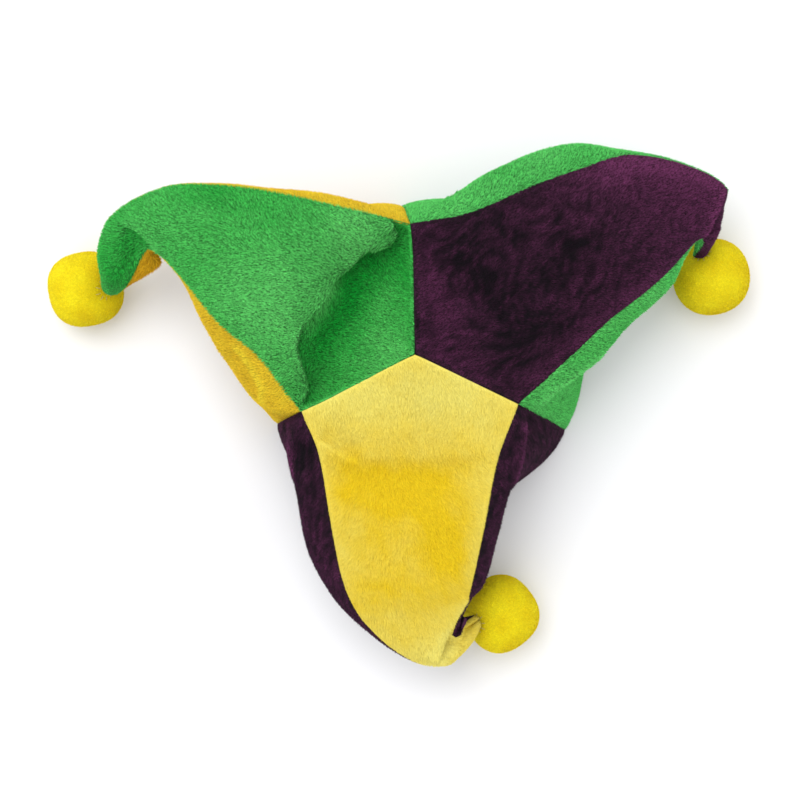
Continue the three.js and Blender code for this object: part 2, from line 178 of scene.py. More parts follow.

# The tone of each dye, how much it varies in patches and in streaks along the nap, how dark its painted shade
# is between its tufts and at their roots, as a share of its colour, how much its clumps of tufts differ, its
# sheen, and how far it leans out over a seam or, below 0, back from it
PLUSHES = {
    row["dye"]: row
    for row in table(
        ("dye", "tone", "patch", "streak", "between", "clumps", "sheen", "fringe"),
        ("green", 0.5, 0.16, 0.12, 0.17, 1.2, 0.16, 0.35),
        ("purple", 0.3, 0.12, 0.4, 0.1, 1.3, 0.12, -0.5),
        ("yellow", 0.5, 0.22, 0.08, 0.8, 0.5, 0.2, -0.4),
        ("gold", 0.62, 0.18, 0.1, 0.5, 0.9, 0.08, -0.2),
        ("lemon", 0.5, 0.5, 0.0, 0.75, 1.6, 0.2, 0.0),
    )
}

DYES = {
    "top_panel_left": "green",
    "under_panel_left": "gold",
    "top_panel_right": "purple",
    "under_panel_right": "green",
    "top_panel_front": "yellow",
    "under_panel_front": "purple",
}

# The size of each kind of soft unevenness and the seed of its noise
LARGE_PATCHES = 22 * MM, 1.0
SMALL_PATCHES = 7 * MM, 2.0
STREAKS = 3.2 * MM, 4.0
SWIRLS = 30 * MM, 7.0
RIPPLE_SEED = 3.0
SWIRL = 0.7  # how far the pile's way turns in a swirl
STREAK_STRETCH = 0.75  # share of their way along the nap that streaks are drawn out by

# The tufts
BARE = 0.3  # no tuft grows where the pile is shorter than this share
TUFT_ROLL = 0.7  # how far a tuft's blade tilts about its length
TUFT_GROWTH = (0.75, 1.2)  # the shortest and the longest
BALL_SEED = 20  # of the first ball's tufts; the panels' are counted from 0

# The balls' covers: shares are of a ball's radius, and widths are angles in radians about its seat's middle
COVER_DETAIL = 5
COVER_SIZE = 0.985  # before it is stuffed
SEAT_SHARE = 0.82  # the solid's corners that are nearer to its middle than this are its seat
SEAT_DIP = 0.2  # how deep a seat is drawn in
SEAT_WIDTH = 0.42
HELD_WIDTH = 0.35  # the cover is held by its stitches within this
STUFFING_FRAMES = 20  # of the simulation that blows up the balls
STUFFING_PRESSURE = 4.0
STUFFING_MOST = 0.05  # the furthest that it moves a point

# The stitches around a ball's seat, in millimetres; the ring's height is above the ball's middle
STITCHES = 9
STITCH_RING = 4.6
STITCH_HEIGHT = 17.4
STITCH_REACH = 1.2  # along the tip and the ball, to both sides of the ring
STITCH_DROP = 0.6  # of its outer end
STITCH_THREAD = 0.4

# The stage, in metres
FLOOR_SIZE = 12
FLOOR_COLOUR = (0.84, 0.84, 0.86)
LIGHT_SIZE = 1.2
LIGHT_PLACE = (-0.45, 0.6, 1.7)
CAMERA_ASIDE = 0.97 * MM  # the camera looks straight down from a little to the right of the middle
CAMERA_BACK = 3.19 * MM  # and a little behind it
CAMERA_RANGE = 50

# The balls are a little square: their turn from above in degrees, and how square, from 2 (round) up
BALL_SHAPES = {
    "ball_right": {"turn": 10.0, "square": 2.15},
    "ball_left": {"turn": 12.0, "square": 2.45},
    "ball_front": {"turn": 38.0, "square": 2.4},
}


class JesterHatColours(bpy.types.PropertyGroup):
    """The plush colours"""

    green_deep: FloatVectorProperty(
        name="Deep Green", description="Left horn's top and right horn's underside, at the darkest",
        subtype="COLOR", default=(0.002, 0.430, 0.036))
    green_pale: FloatVectorProperty(
        name="Pale Green", description="The same plush at its lightest", subtype="COLOR",
        default=(0.158, 0.780, 0.180))
    purple_deep: FloatVectorProperty(
        name="Deep Purple", description="Right horn's top and front horn's underside, at the darkest",
        subtype="COLOR", default=(0.004, 0.0010, 0.005))
    purple_pale: FloatVectorProperty(
        name="Pale Purple", description="The same plush at its lightest", subtype="COLOR",
        default=(0.190, 0.036, 0.128))
    yellow_deep: FloatVectorProperty(
        name="Deep Yellow", description="Front horn's top, at the darkest", subtype="COLOR",
        default=(0.820, 0.600, 0.010))
    yellow_pale: FloatVectorProperty(
        name="Pale Yellow", description="The same plush at its lightest", subtype="COLOR",
        default=(0.850, 0.755, 0.170))
    gold_deep: FloatVectorProperty(
        name="Deep Gold", description="Left horn's underside, at the darkest", subtype="COLOR",
        default=(0.700, 0.350, 0.003))
    gold_pale: FloatVectorProperty(
        name="Pale Gold", description="The same plush at its lightest", subtype="COLOR",
        default=(0.910, 0.720, 0.035))
    lemon_deep: FloatVectorProperty(
        name="Deep Lemon", description="The three balls, at the darkest", subtype="COLOR",
        default=(0.850, 0.660, 0.004))
    lemon_pale: FloatVectorProperty(
        name="Pale Lemon", description="The same plush at its lightest", subtype="COLOR",
        default=(0.950, 0.840, 0.012))
    thread: FloatVectorProperty(
        name="Thread", description="The sewing thread that shows at a tip", subtype="COLOR",
        default=(0.500, 0.420, 0.110))


class JesterHatPile(bpy.types.PropertyGroup):
    """The pile that covers the cloth"""

    tufts: IntProperty(
        name="Tufts", description="Tufts on a square centimetre of cloth", default=500, min=0)
    length: FloatProperty(
        name="Length", description="Length of a tuft", default=2.0 * MM, unit="LENGTH")
    width: FloatProperty(
        name="Width", description="Width of a tuft at its root", default=0.5 * MM, unit="LENGTH")
    lean: FloatProperty(
        name="Lean", description="How far a tuft stands up from the cloth", subtype="ANGLE",
        default=math.radians(24))
    spread: FloatProperty(
        name="Spread", description="How much the tufts differ in direction", default=0.28, min=0)
    ball_length: FloatProperty(
        name="Ball Pile Length", description="Length of a ball's tuft", default=0.9 * MM, unit="LENGTH")
    ball_width: FloatProperty(
        name="Ball Pile Width", description="Width of a ball's tuft as a share of the others'",
        default=0.7, min=0)
    ball_lean: FloatProperty(
        name="Ball Pile Lean", description="How far a ball's tuft stands up", subtype="ANGLE",
        default=math.radians(35))
    ball_spread: FloatProperty(
        name="Ball Pile Spread", description="How much a ball's tufts differ in direction",
        default=0.4, min=0)


class JesterHatCloth(bpy.types.PropertyGroup):
    """The sewn panels"""

    depth: FloatProperty(
        name="Pile Depth", description="Share of a wall that is pile", default=0.3, min=0, max=1)
    seam_roll: FloatProperty(
        name="Seam Roll", description="Share of a wall that an edge sinks at its seam", default=0.15)
    seam_width: FloatProperty(
        name="Seam Width", description="How wide an edge rolls", default=1.8 * MM, unit="LENGTH")
    ripple: FloatProperty(
        name="Ripple", description="Height of the cloth's soft unevenness", default=0.5 * MM, unit="LENGTH")
    ripple_size: FloatProperty(
        name="Ripple Size", description="Width of that unevenness", default=22 * MM, unit="LENGTH")


class JesterHatStage(bpy.types.PropertyGroup):
    """The floor, the lights and the camera"""

    camera_height: FloatProperty(
        name="Camera Height", description="Height of the camera over the floor", default=1.4,
        unit="LENGTH")
    picture_width: FloatProperty(
        name="Picture Width", description="Width of the floor that the picture shows", default=0.448,
        unit="LENGTH")
    sky: FloatProperty(name="Sky", description="Strength of the light from all around", default=1.1)
    key: FloatProperty(name="Key", description="Power of the large overhead light in watts", default=17.0)


def merged(node):
    """A copy of a node's mesh in which triangles share their corners."""
    shell = bmesh.new()
    shell.from_mesh(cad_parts[node].data)
    bmesh.ops.remove_doubles(shell, verts=shell.verts, dist=MERGE)
    shell.normal_update()
    shell.faces.ensure_lookup_table()
    return shell


def crown_middle():
    """Where the three top panels meet: the mean of their highest corners."""
    highest = []
    for horn in HORNS:
        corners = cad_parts[f"top_panel_{horn}"].data.vertices
        highest.append(max((corner.co.copy() for corner in corners), key=lambda place: place.z))
    return sum(highest, Vector()) / len(highest)


MIDDLE = crown_middle()


def points_of(mesh):
    """Where a mesh's corners are, as an array."""
    return np.array([corner.co[:] for corner in mesh.vertices])


def third(face, a, b):
    """The corner of a triangle that is neither of two."""
    return next(corner for corner in face.verts if corner not in (a, b))


def next_face(a, b, barred):
    """The face beside the edge from a to b that isn't barred, which is barred from then on."""
    for face in a.link_faces:
        if b in face.verts and face not in barred:
            barred.add(face)
            return face
    return None


def least_turn(row):
    """How much the surface turns at a row of corners, where it turns least."""
    edges = [next(edge for edge in a.link_edges if b in edge.verts) for a, b in zip(row, row[1:])]
    return min(edge.calc_face_angle() for edge in edges)


def rows_from(first, barred):
    """The corners of a sheet row by row from its first row, as far as the cloth's cut end."""
    rows = [first]
    while len(rows) == 1 or least_turn(rows[-1]) < END_TURN:
        row, following = rows[-1], []
        for a, b in zip(row, row[1:]):
            face = next_face(a, b, barred)
            if face is None:
                return rows
            c = third(face, a, b)
            d = third(next_face(a, c, barred), a, c)
            following += [c] if following else [d, c]
        rows.append(following)
    return rows


def chain(pairs):
    """Corners in order, from pairs of each and the next."""
    after = dict(pairs)
    ordered = [next(corner for corner in after if corner not in after.values())]
    while ordered[-1] in after:
        ordered.append(after[ordered[-1]])
    return ordered


def fan(pole, faces):
    """The corners around a pole, in order."""
    pairs = []
    for face in faces:
        corners = list(face.verts)
        at = corners.index(pole)
        pairs.append((corners[(at + 1) % 3], corners[(at + 2) % 3]))
    return chain(pairs)


def rim_row(shell):
    """The outer corners along the rim, from the right seam to the left one, and the faces under the rim."""
    bottom = {face for face in shell.faces if max(corner.co.z for corner in face.verts) < RIM_HEIGHT}
    pairs = []
    for face in shell.faces:
        for loop in face.loops:
            a, b = loop.vert, loop.link_loop_next.vert
            outwards = face.calc_center_median() - MIDDLE
            if max(a.co.z, b.co.z) < RIM_HEIGHT and face not in bottom and face.normal.dot(outwards) > 0:
                pairs.append((a, b))
    return chain(pairs), bottom


def corners_under(row, barred):
    """The inner corners under a row of outer ones, by the cut edge between them."""
    inner = []
    for a, b in zip(row, row[1:]):
        shared = next_face(a, b, barred)
        d = third(shared, a, b)
        c = third(next_face(a, d, barred), a, d)
        inner += [d] if inner else [c, d]
    return inner


def places(rows, columns):
    """Rows of corners as an array; a pole's single corner fills its row."""
    filled = [row if len(row) > 1 else row * columns for row in rows]
    return np.array([[corner.co[:] for corner in row] for row in filled])


def panel_sheets(node):
    """A panel's outer and inner face as arrays of places, from the crown or rim to the horn's tip."""
    shell = merged(node)
    if node.startswith("under"):
        first, bottom = rim_row(shell)
        outer = rows_from(first, set(bottom))
        seam_faces = faces_of(outer)
        inner = rows_from(corners_under(first, seam_faces), faces_at(outer))
    else:
        pole = max(shell.verts, key=lambda corner: corner.co.z)
        facing_up = {face for face in pole.link_faces if face.normal.z > 0.5}
        around = fan(pole, facing_up)
        outer = [[pole], *rows_from(around, set(facing_up))]
        below = corners_under([pole, around[0]], faces_of(outer))[0]
        facing_down = {face for face in below.link_faces if face not in faces_at(outer)}
        inner = [[below], *rows_from(fan(below, facing_down)[::-1], faces_at(outer) | facing_down)]
    columns = len(outer[-1])
    sheets = places(outer, columns), places(inner, columns)
    shell.free()
    return sheets


def faces_at(rows):
    """The faces with any of these corners."""
    return {face for row in rows for corner in row for face in corner.link_faces}


def faces_of(rows):
    """The faces with these corners alone."""
    corners = {corner for row in rows for corner in row}
    return {face for face in faces_at(rows) if corners.issuperset(face.verts)}


def stations(count, finer, dense=()):
    """Where a refined sheet has rows or columns, counted in those of its mesh."""
    steps = np.full(count - 1, finer)
    for first, last, more in dense:
        steps[first:last] = more
    parts = [row + np.arange(number) / number for row, number in enumerate(steps)]
    return np.append(np.concatenate(parts), count - 1)


def smooth_along(points, at, axis, sharp=None):
    """Smooth curves through points, along one axis of their array. Sharp points stay corners."""
    points = np.moveaxis(points, axis, 0)
    ends = 2 * points[:1] - points[1:2], 2 * points[-1:] - points[-2:-1]
    padded = np.concatenate([ends[0], points, ends[1]])
    start = np.minimum(at.astype(int), len(points) - 2)
    t = (at - start).reshape(-1, *[1] * (points.ndim - 1))
    a, b, c, d = (padded[start + i] for i in range(4))
    if sharp is not None:
        a = np.where(sharp[start][..., None], 2 * b - c, a)
        d = np.where(sharp[start + 1][..., None], 2 * c - b, d)
    curve = b + ((c - a) * t + (2 * a - 5 * b + 4 * c - d) * t**2 + (3 * b - a - 3 * c + d) * t**3) / 2
    return np.moveaxis(curve, 0, axis)


def seam_corners(corners):
    """Where a sheet's two seams turn sharply."""
    ways = unit(np.diff(corners, axis=0))
    turns = np.sum(ways[:-1] * ways[1:], axis=-1)
    sharp = np.zeros(corners.shape[:2], bool)
    for seam in (0, -1):
        sharp[1:-1, seam] = turns[:, seam] < math.cos(SEAM_CORNER)
    return sharp


class Sheet:
    """One face of a panel: rows from the crown or rim to the tip, each from the right seam to the left."""

    def __init__(self, corners, dense):
        rows, columns = corners.shape[:2]
        at_rows, at_columns = stations(rows, ROW_STEPS, dense), stations(columns, COLUMN_STEPS)
        self.places = smooth_along(smooth_along(corners, at_rows, 0, seam_corners(corners)), at_columns, 1)
        self.along = at_rows / (rows - 1)
        self.across = at_columns / (columns - 1)

    def line(self, shares):
        """A smooth curve on the sheet through places given as shares across and along it."""
        rows = [np.abs(self.along - along).argmin() for _, along in shares]
        columns = [np.abs(self.across - across).argmin() for across, _ in shares]
        return smooth_along(self.places[rows, columns], stations(len(shares), LINE_STEPS), 0)

    def from_seams(self):
        """How far each place is from the nearer seam, across its panel."""
        steps = np.linalg.norm(np.diff(self.places, axis=1), axis=-1)
        right = np.pad(np.cumsum(steps, axis=1), ((0, 0), (1, 0)))
        left = right[:, -1:] - right
        return np.minimum(right, left)

    def towards_seams(self, reach):
        """The way across to the nearer seam, which fades out over a reach from it."""
        way = unit(np.gradient(self.places, axis=1)) * np.sign(self.across - 0.5)[:, None]
        return way * np.exp(-self.from_seams() / reach)[..., None]


def unit(vectors):
    """Vectors with their length made 1."""
    length = np.linalg.norm(vectors, axis=-1, keepdims=True)
    return vectors / np.maximum(length, 1e-12)


def outward(outer, inner):
    """The cloth's outward direction at each place."""
    crossed = np.cross(np.gradient(outer, axis=0), np.gradient(outer, axis=1))
    away = outer - inner
    facing = np.sign(np.sum(crossed * away, axis=-1, keepdims=True))
    return unit(unit(crossed * facing) + 0.3 * unit(away))


def smooth_step(value, low, high):
    """How far a value is from low to high, from 0 to 1, with a soft start and end."""
    share = np.clip((value - low) / (high - low), 0, 1)
    return share * share * (3 - 2 * share)


def unevenness(places, size, seed):
    """Soft noise from about -1 to 1 at each place."""
    flat = places.reshape(-1, 3) / size + seed
    return np.array([noise.noise(Vector(place)) for place in flat]).reshape(places.shape[:2])


def brushed(sheet, facing, horn_way, fringe):
    """The way that the pile is brushed: along its horn and down, swirled a little, and out over the seams."""
    swirl = unevenness(sheet.places, *SWIRLS)[..., None]
    down = np.array([0.6 * horn_way[0], 0.6 * horn_way[1], -0.8])
    along = unit(down - facing * np.sum(facing * down, axis=-1, keepdims=True))
    over_seams = fringe * sheet.towards_seams(SEAM_FRINGE)
    return unit(along + SWIRL * swirl * np.cross(facing, along) + over_seams)


def folded(sheet, facing, fold):
    """How far a fold moves each place of a sheet, and how near each is to its crest and to its valley."""
    line = sheet.line(fold["line"])
    gaps = sheet.places[:, :, None] - line
    nearest = np.linalg.norm(gaps, axis=-1).argmin(-1)
    gap = np.take_along_axis(gaps, nearest[..., None, None], 2)[:, :, 0] / MM
    way = unit(np.gradient(line, axis=0))[nearest]
    behind = unit(np.cross(facing, way))
    away = np.sum(gap * behind, axis=-1)
    beyond = np.sum(gap * way, axis=-1)
    share = nearest / (len(line) - 1)
    fade = smooth_step(share, 0, FOLD_ENDS) * (1 - smooth_step(share, 1 - FOLD_ENDS, 1))
    fade *= np.exp(-((beyond / FOLD_REACH) ** 2))
    fade *= smooth_step(sheet.from_seams(), 0, FOLD_CLEAR)
    crest = fade * np.exp(-((away / np.where(away < 0, fold["before"], fold["behind"])) ** 2))
    deep = np.maximum(away, 0) / fold["valley"]
    valley = fade * deep * np.exp(1 - deep)
    height = (fold["rise"] * crest - fold["drop"] * valley)[..., None]
    return (facing * height + behind * fold["lean"] * crest[..., None]) * MM, crest, valley


def tones(sheet, node, nap):
    """How light the pile looks at each place, from 0 to 1, by its brushing and by painted shade and
    highlight.
    """
    plush = PLUSHES[DYES[node]]
    tone = np.full(sheet.places.shape[:2], plush["tone"])
    for patch in PATCHES:
        if patch["panel"] == node:
            across = (sheet.across[None, :] - patch["across"]) / patch["wide"]
            along = (sheet.along[:, None] - patch["along"]) / patch["long"]
            tone += patch["tone"] * np.exp(-(across**2) - along**2)
    stretched = sheet.places - STREAK_STRETCH * nap * np.sum(sheet.places * nap, axis=-1, keepdims=True)
    patches = unevenness(sheet.places, *LARGE_PATCHES) + 0.6 * unevenness(sheet.places, *SMALL_PATCHES)
    tone += plush["patch"] * patches + plush["streak"] * unevenness(stretched, *STREAKS)
    return tone


def grid_faces(rows, columns, start, reverse):
    """The four-sided faces of a grid of corners that starts at a corner's number."""
    at = start + np.arange(rows * columns).reshape(rows, columns)
    quads = np.stack([at[:-1, :-1], at[:-1, 1:], at[1:, 1:], at[1:, :-1]], axis=-1).reshape(-1, 4)
    return quads[:, ::-1] if reverse else quads


def strip_faces(outer, inner):
    """The faces between a row of outer corners and the row of inner ones under it."""
    return np.stack([outer[:-1], inner[:-1], inner[1:], outer[1:]], axis=-1)


def add_attribute(mesh, name, kind, values):
    """Give each of a mesh's points its value."""
    field = "vector" if kind == "FLOAT_VECTOR" else "value"
    layer = mesh.attributes.new(name, kind, "POINT")
    layer.data.foreach_set(field, np.asarray(values, np.float32).ravel())


def link(name, data):
    """A new object in the scene for a mesh, a light or a camera."""
    piece = bpy.data.objects.new(name, data)
    bpy.context.scene.collection.objects.link(piece)
    return piece


def cloth_mesh(name, outer, inner, is_under):
    """A closed wall of cloth between two sheets."""
    rows, columns = outer.shape[:2]
    count = rows * columns
    at = np.arange(count).reshape(rows, columns)
    lines = [at[:, 0][::-1], at[:, -1], at[-1][::-1]] + ([at[0]] if is_under else [])
    outside = grid_faces(rows, columns, 0, False)
    inside = grid_faces(rows, columns, count, True)
    sides = np.concatenate([strip_faces(line, line + count) for line in lines])
    mesh = bpy.data.meshes.new(name)
    corners = np.concatenate([outer.reshape(-1, 3), inner.reshape(-1, 3)])
    mesh.from_pydata(corners.tolist(), [], np.concatenate([outside, inside, sides]).tolist())
    is_inside = np.zeros(len(mesh.polygons), np.int32)
    is_inside[len(outside):len(outside) + len(inside)] = 1
    mesh.polygons.foreach_set("material_index", is_inside)
    return mesh


def closed(mesh):
    """The mesh with doubled corners merged and its faces turned outwards."""
    shell = bmesh.new()
    shell.from_mesh(mesh)
    bmesh.ops.remove_doubles(shell, verts=shell.verts, dist=MERGE)
    bmesh.ops.recalc_face_normals(shell, faces=shell.faces)
    for face in shell.faces:
        face.smooth = True
    shell.to_mesh(mesh)
    shell.free()


def sew_panel(node):
    """A panel of soft cloth, from its outer and inner sheets."""
    cloth = bpy.context.scene.jester_hat_cloth
    is_under = node.startswith("under")
    outer, inner = (Sheet(corners, DENSE_ROWS.get(node, ())) for corners in panel_sheets(node))
    facing = outward(outer.places, inner.places)
    thick = np.linalg.norm(outer.places - inner.places, axis=-1, keepdims=True)
    seams = outer.from_seams()[..., None]
    ripple = unevenness(outer.places, cloth.ripple_size, RIPPLE_SEED)[..., None] * cloth.ripple
    moves = facing * ripple * smooth_step(seams, 0, RIPPLE_CLEAR)
    horn_way = outer.places[-1, 0] - MIDDLE
    fringe = PLUSHES[DYES[node]]["fringe"]
    nap = brushed(outer, facing, unit(horn_way * (1, 1, 0)), fringe)
    tone = tones(outer, node, nap)
    for fold in FOLDS:
        if fold["panel"] == node:
            move, crest, valley = folded(outer, facing, fold)
            moves += move
            # painted highlight along the fold's crest and painted shade in its valley
            tone += fold["tone"] * crest**3 - VALLEY_SHADE * valley
    share = cloth.depth + cloth.seam_roll * (1 - smooth_step(seams, 0, cloth.seam_width))
    pulled = outer.towards_seams(SEAM_PULL_WIDTH)
    roots = outer.places + (inner.places - outer.places) * share + moves + pulled * SEAM_PULL
    lining = inner.places + moves + pulled * LINING_PULL
    is_hem = (inner.places[..., 2] < HEM_HEIGHT) & is_under
    drawn_in = SEAM_SHORTENING * (fringe < 0) * np.exp(-outer.from_seams() / SEAM_FRINGE)
    length = np.clip(thick[..., 0] / FULL_WALL * (1 - drawn_in), SHORTEST_PILE, 1)
    mesh = cloth_mesh(f"plush_{node}", roots, lining, is_under)
    for name, kind, outside, inside in (
        (PILE, "FLOAT", length, is_hem * 1.0),
        (TONE, "FLOAT", np.clip(tone, 0, 1), np.full_like(tone, 0.4)),
        (NAP, "FLOAT_VECTOR", nap, nap),
    ):
        add_attribute(mesh, name, kind, np.concatenate([outside.ravel(), inside.ravel()]))
    closed(mesh)
    return link(f"plush_{node}", mesh)


class Nodes:
    """Adds nodes to a tree and links them."""

    def __init__(self, tree):
        self.tree = tree

    def put(self, socket, value):
        if isinstance(value, bpy.types.NodeSocket):
            self.tree.links.new(value, socket)
        else:
            socket.default_value = value

    def node(self, kind, settings=None, **values):
        """A node of a type, with its settings and then the values or links of its sockets."""
        made = self.tree.nodes.new(kind)
        for name, value in (settings or {}).items():
            setattr(made, name, value)
        for name, value in values.items():
            self.put(made.inputs[name.replace("_", " ")], value)
        return made

    def maths(self, operation, *values):
        made = self.node("ShaderNodeMath", {"operation": operation})
        for socket, value in zip(made.inputs, values):
            self.put(socket, value)
        return made.outputs[0]

    def vectors(self, operation, *values):
        made = self.node("ShaderNodeVectorMath", {"operation": operation})
        for socket, value in zip(made.inputs, values):
            self.put(socket, value)
        return made.outputs[0]

    def scaled(self, vector, size):
        made = self.node("ShaderNodeVectorMath", {"operation": "SCALE"}, Scale=size)
        self.put(made.inputs[0], vector)
        return made.outputs[0]

    def vector(self, x, y, z):
        return self.node("ShaderNodeCombineXYZ", X=x, Y=y, Z=z).outputs[0]

    def parts(self, vector):
        return self.node("ShaderNodeSeparateXYZ", Vector=vector).outputs

    def attribute(self, name, kind):
        return self.node("GeometryNodeInputNamedAttribute", {"data_type": kind}, Name=name).outputs[0]

    def chance(self, low, high, seed):
        """A random number or direction between two."""
        kind = "FLOAT" if isinstance(low, float) else "FLOAT_VECTOR"
        made = self.node("FunctionNodeRandomValue", {"data_type": kind}, Seed=seed)
        first = 2 if kind == "FLOAT" else 0
        self.put(made.inputs[first], low)
        self.put(made.inputs[first + 1], high)
        return made.outputs[1 if kind == "FLOAT" else 0]


def pile_tree():
    """A node tree that covers a mesh with tufts that lean the way its nap goes."""
    tree = bpy.data.node_groups.new("pile", "GeometryNodeTree")
    for name, kind in (
        ("Geometry", "NodeSocketGeometry"),
        ("Tufts", "NodeSocketFloat"),
        ("Length", "NodeSocketFloat"),
        ("Width", "NodeSocketFloat"),
        ("Lean", "NodeSocketFloat"),
        ("Spread", "NodeSocketFloat"),
        ("Seed", "NodeSocketInt"),
        ("Material", "NodeSocketMaterial"),
    ):
        tree.interface.new_socket(name, in_out="INPUT", socket_type=kind)
    tree.interface.new_socket("Geometry", in_out="OUTPUT", socket_type="NodeSocketGeometry")
    build = Nodes(tree)
    given = build.node("NodeGroupInput").outputs
    pile = build.attribute(PILE, "FLOAT")
    density = build.maths("MULTIPLY", build.maths("GREATER_THAN", pile, BARE), given["Tufts"])
    spots = build.node("GeometryNodeDistributePointsOnFaces", {"distribute_method": "RANDOM"},
                       Mesh=given["Geometry"], Density=density, Seed=given["Seed"])

    facing = spots.outputs["Normal"]
    upright = build.scaled(facing, build.maths("SINE", given["Lean"]))
    lying = build.scaled(build.attribute(NAP, "FLOAT_VECTOR"), build.maths("COSINE", given["Lean"]))
    astray = build.scaled(build.chance((-1.0, -1.0, -1.0), (1.0, 1.0, 1.0), given["Seed"]), given["Spread"])
    way = build.vectors("ADD", build.vectors("ADD", upright, lying), astray)
    along = build.node("FunctionNodeAlignRotationToVector", {"axis": "X"}, Vector=way)
    rolled = build.vectors("ADD", facing, build.chance((-TUFT_ROLL,) * 3, (TUFT_ROLL,) * 3, 5))
    turned = build.node("FunctionNodeAlignRotationToVector", {"axis": "Z", "pivot_axis": "X"},
                        Rotation=along.outputs[0], Vector=rolled)

    # A tuft is a triangle with its root across the origin, and its tip a length along X
    triangle = build.node("GeometryNodeMeshCircle", {"fill_type": "NGON"}, Vertices=3, Radius=1.0)
    size = build.vector(build.maths("DIVIDE", given["Length"], 1.5),
                        build.maths("DIVIDE", given["Width"], math.sqrt(3)), 1.0)
    move = build.vector(build.maths("DIVIDE", given["Length"], 3.0), 0.0, 0.0)
    tuft = build.node("GeometryNodeTransform", Geometry=triangle.outputs[0], Scale=size, Translation=move)
    reach = build.parts(build.node("GeometryNodeInputPosition").outputs[0])[0]
    height = build.maths("DIVIDE", reach, given["Length"])
    tipped = build.node("GeometryNodeStoreNamedAttribute", {"data_type": "FLOAT", "domain": "POINT"},
                        Geometry=tuft.outputs[0], Name=TIP, Value=height)

    growth = build.maths("MULTIPLY", build.chance(*TUFT_GROWTH, given["Seed"]), pile)
    planted = build.node("GeometryNodeInstanceOnPoints", Points=spots.outputs["Points"],
                         Instance=tipped.outputs[0], Rotation=turned.outputs[0], Scale=growth)
    shade = build.node("GeometryNodeStoreNamedAttribute", {"data_type": "FLOAT", "domain": "INSTANCE"},
                       Geometry=planted.outputs[0], Name=SHADE, Value=build.chance(0.0, 1.0, 11))
    real = build.node("GeometryNodeRealizeInstances", Geometry=shade.outputs[0])
    x, y, z = build.parts(build.node("GeometryNodeInputPosition").outputs[0])
    above_floor = build.vector(x, y, build.maths("MAXIMUM", z, 0.0))
    lifted = build.node("GeometryNodeSetPosition", Geometry=real.outputs[0], Position=above_floor)
    dyed = build.node("GeometryNodeSetMaterial", Geometry=lifted.outputs[0], Material=given["Material"])
    build.put(build.node("NodeGroupOutput").inputs[0], dyed.outputs[0])
    return tree


def grown(tree, ground, name, values):
    """What a node tree grows on a piece, as a piece of its own with a plain mesh."""
    growing = link(f"{name}_growing", ground.data.copy())
    modifier = growing.modifiers.new("grow", "NODES")
    modifier.node_group = tree
    by_name = {item.name: item.identifier for item in tree.interface.items_tree if item.in_out == "INPUT"}
    for key, value in values.items():
        modifier[by_name[key]] = value
    evaluated = growing.evaluated_get(bpy.context.evaluated_depsgraph_get())
    mesh = bpy.data.meshes.new_from_object(evaluated)
    growing.modifiers.remove(modifier)
    bpy.data.objects.remove(growing)
    mesh.name = name
    mesh.materials.clear()
    mesh.materials.append(values["Material"])
    mesh.polygons.foreach_set("material_index", np.zeros(len(mesh.polygons), np.int32))
    return link(name, mesh)


class Value:
    """A number that a shader works out; arithmetic on it adds Math nodes."""

    def __init__(self, finish, socket):
        self.finish = finish
        self.socket = socket

    def maths(self, operation, *others):
        node = self.finish.node("ShaderNodeMath", {"operation": operation})
        for socket, value in zip(node.inputs, others):
            self.finish.put(socket, value)
        return Value(self.finish, node.outputs[0])

    def __add__(self, other):
        return self.maths("ADD", self, other)

    def __radd__(self, other):
        return self.maths("ADD", other, self)

    def __sub__(self, other):
        return self.maths("SUBTRACT", self, other)

    def __rsub__(self, other):
        return self.maths("SUBTRACT", other, self)

    def __mul__(self, other):
        return self.maths("MULTIPLY", self, other)

    def __rmul__(self, other):
        return self.maths("MULTIPLY", other, self)


class Finish(Nodes):
    """A material in the making."""

    def __init__(self, name):
        self.material = bpy.data.materials.new(name)
        self.material.use_nodes = True
        super().__init__(self.material.node_tree)
        self.shader = self.tree.nodes["Principled BSDF"]

    def put(self, socket, value):
        super().put(socket, value.socket if isinstance(value, Value) else value)

    def place(self):
        return self.node("ShaderNodeTexCoord").outputs["Object"]

    def noise(self, size, detail=2.0, roughness=0.5):
        made = self.node("ShaderNodeTexNoise", Vector=self.place(), Scale=1 / size, Detail=detail,
                         Roughness=roughness)
        return Value(self, made.outputs["Fac"])

    def shown(self, name):
        """A number that the mesh holds at each point."""
        made = self.node("ShaderNodeAttribute", {"attribute_name": name})
        return Value(self, made.outputs["Fac"])

    def mix(self, factor, a, b):
        made = self.node("ShaderNodeMix", {"data_type": "RGBA"})
        self.put(made.inputs["Factor"], factor)
        self.put(made.inputs[6], a)
        self.put(made.inputs[7], b)
        return made.outputs[2]

    def set(self, **values):
        for name, value in values.items():
            self.put(self.shader.inputs[name.replace("_", " ")], value)


def shaded(colour, factor):
    """A colour made lighter or darker, with its alpha."""
    return (*(min(1.0, part * factor) for part in colour), 1.0)


def plush_finish(name, deep, pale, plush):
    """Plush pile: lighter or darker by its brushing and painted light, clump by clump, with painted shade at
    the roots.
    """
    finish = Finish(name)
    between = plush["between"]
    tone = finish.shown(TONE)
    # lit is the colour at the tufts' tips; shadow is a painted shade of it, for their roots and the cloth
    # between them
    lit = finish.mix(tone, shaded(deep, 1.0), shaded(pale, 1.0))
    shadow = finish.mix(tone, shaded(deep, between), shaded(pale, between))
    clump = finish.noise(1.1 * MM, 1.0) - 0.5
    # painted shade towards each tuft's root, with random tone tuft by tuft and clump by clump
    root_shade_and_tone = 0.5 * finish.shown(TIP) + 0.65 * finish.shown(SHADE) + plush["clumps"] * clump
    finish.set(Base_Color=finish.mix(root_shade_and_tone, shadow, lit), Roughness=0.85, Sheen_Weight=plush["sheen"],
               Sheen_Roughness=0.4, Sheen_Tint=shaded(pale, 1 / max(pale)), Specular_IOR_Level=0.2)
    return finish.material


